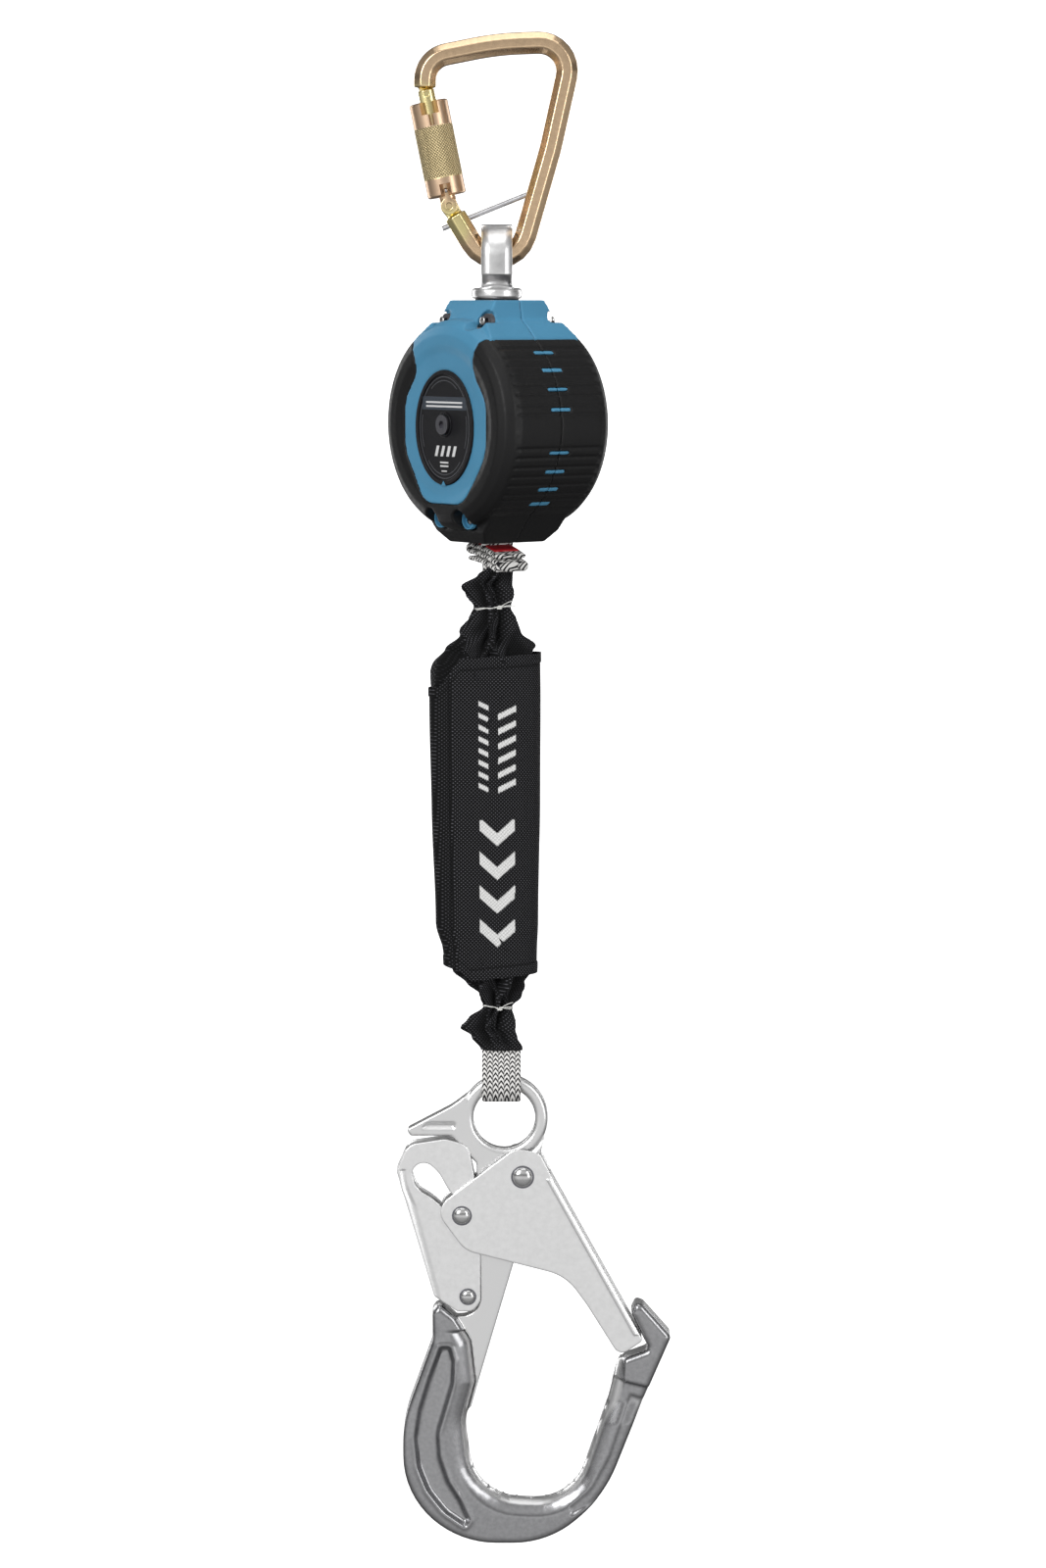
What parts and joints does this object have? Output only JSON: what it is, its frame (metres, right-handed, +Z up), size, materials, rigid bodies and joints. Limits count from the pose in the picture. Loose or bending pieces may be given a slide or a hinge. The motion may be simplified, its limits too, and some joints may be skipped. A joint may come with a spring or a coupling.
{
  "type": "self retracting lifeline",
  "caption": "Self retracting webbing lifeline in a round two-tone housing, with a twist-lock carabiner and swivel eye above, and a shock pack and large rebar hook below.",
  "frame": {"origin": "inside of the carabiner's top bar, the point that rests on an anchor", "axes": "+Z up along the hanging lifeline, X and Z in the plane of the carabiner and the hook, -Y is the front"},
  "size_m": [0.1462, 0.1182, 0.7811],
  "materials": {
    "zinc_gold": "zinc-plated steel with a yellow passivate",
    "steel": "machined",
    "dark_steel": "black oxide",
    "bright": "polished forging",
    "satin": "fine blasted zinc-plated plate",
    "shell_blue": "fine-textured nylon",
    "rubber_black": "soft overmould",
    "label_black": "printed label, no lettering",
    "web_grey": "woven webbing with dark tracers",
    "signal_red": "woven",
    "cloth_black": "coarse woven nylon",
    "tie_white": "thin tie",
    "bronze": "sintered bush"
  },
  "bodies": {
    "carabiner": {"carabiner_body": "zinc_gold", "captive_pin": "steel", "carabiner_gate_pin": "steel"},
    "carabiner_gate": {"carabiner_gate": "zinc_gold", "gate_latch_pin": "steel", "gate_plunger": "steel", "gate_return_spring": "steel", "sleeve_spring": "steel"},
    "sleeve": {"locking_sleeve": "zinc_gold"},
    "swivel": {"swivel_eye": "bright", "swivel_washer": "rubber_black", "swivel_nut": "dark_steel", "thrust_washer": "bronze"},
    "housing": {"front_cover": "shell_blue", "rear_cover": "shell_blue", "front_grip": "rubber_black", "rear_grip": "rubber_black", "front_label": "label_black", "rear_label": "label_black", "label_screws": "dark_steel", "cover_screws": "steel", "load_frame": "steel", "drum_axle": "steel", "ratchet_plate": "dark_steel", "spring_case": "dark_steel", "power_spring": "steel", "web_guide": "dark_steel", "guide_pins": "steel", "inner_web_run": "web_grey"},
    "drum": {"drum": "satin", "drum_bushes": "bronze", "webbing_coil": "web_grey", "web_anchor_pin": "steel", "pawl_pins": "steel", "pawl_springs": "steel"},
    "pawl_1": {"pawl_1": "dark_steel"},
    "pawl_2": {"pawl_2": "dark_steel"},
    "lifeline": {"lifeline_web": "web_grey", "stopper_fold": "web_grey", "load_indicator": "signal_red", "pack_cover": "cloth_black", "tear_web": "web_grey", "label_wrap": "cloth_black", "upper_tie": "tie_white", "lower_tie": "tie_white", "lower_web_loop": "web_grey"},
    "hook": {"hook_body": "bright", "gate_rivet": "bright", "lever_rivet": "bright", "lever_spring": "steel"},
    "hook_gate": {"hook_gate": "satin", "lock_pin": "bright"},
    "hook_lever": {"hook_lever": "satin"}
  },
  "joints": [
    {"name": "carabiner_gate_hinge", "type": "hinge", "parent": "carabiner", "child": "carabiner_gate", "pos_m": [-0.024, 0, -0.075], "axis": [0, 1, 0], "range_deg": [0, 24], "stiffness_Nm_per_rad": 0.25, "springref_deg": -20.05},
    {"name": "sleeve_twist", "type": "hinge", "parent": "carabiner_gate", "child": "sleeve", "pos_m": [-0.024, 0, -0.075], "axis": [-0.1977, 0, 0.9803], "range_deg": [0, 90], "stiffness_Nm_per_rad": 0.03, "springref_deg": -28.65},
    {"name": "eye_swing", "type": "hinge", "parent": "carabiner", "child": "swivel", "pos_m": [0, 0, -0.1005], "axis": [1, 0, 0], "range_deg": [-75, 75]},
    {"name": "housing_swivel", "type": "hinge", "parent": "swivel", "child": "housing", "pos_m": [0, 0, -0.13], "axis": [0, 0, 1], "continuous": true},
    {"name": "lifeline_payout", "type": "slide", "parent": "housing", "child": "lifeline", "axis": [0, 0, -1], "range_m": [0, 1.885], "stiffness_N_per_m": 12, "springref_m": -2, "deforming": ["lifeline_web"]},
    {"name": "drum_spin", "type": "hinge", "parent": "housing", "child": "drum", "pos_m": [0, 0, -0.1842], "axis": [-0.788, -0.6157, 0], "range_deg": [0, 3600.2]},
    {"name": "pawl_1_swing", "type": "hinge", "parent": "drum", "child": "pawl_1", "pos_m": [0.01016, -0.013, -0.1842], "axis": [0.788, 0.6157, 0], "range_deg": [0, 14], "stiffness_Nm_per_rad": 0.004, "springref_deg": -17.19},
    {"name": "pawl_2_swing", "type": "hinge", "parent": "drum", "child": "pawl_2", "pos_m": [-0.01016, 0.013, -0.1842], "axis": [0.788, 0.6157, 0], "range_deg": [0, 14], "stiffness_Nm_per_rad": 0.004, "springref_deg": -17.19},
    {"name": "hook_swing", "type": "hinge", "parent": "lifeline", "child": "hook", "pos_m": [0.0035, 0, -0.5237], "axis": [1, 0, 0], "range_deg": [-60, 60]},
    {"name": "hook_lever_squeeze", "type": "hinge", "parent": "hook", "child": "hook_lever", "pos_m": [-0.0155, 0, -0.637], "axis": [0, 1, 0], "range_deg": [0, 12], "stiffness_Nm_per_rad": 1.2, "springref_deg": -17.19},
    {"name": "hook_gate_hinge", "type": "hinge", "parent": "hook", "child": "hook_gate", "pos_m": [0.013, 0, -0.573], "axis": [0, 1, 0], "range_deg": [0, 40.1]}
  ],
  "couplings": [
    {"joint": "drum_spin", "follows": "lifeline_payout", "rad_per_m": 33.333},
    {"joint": "hook_gate_hinge", "follows": "hook_lever_squeeze", "ratio": 3.3333}
  ]
}
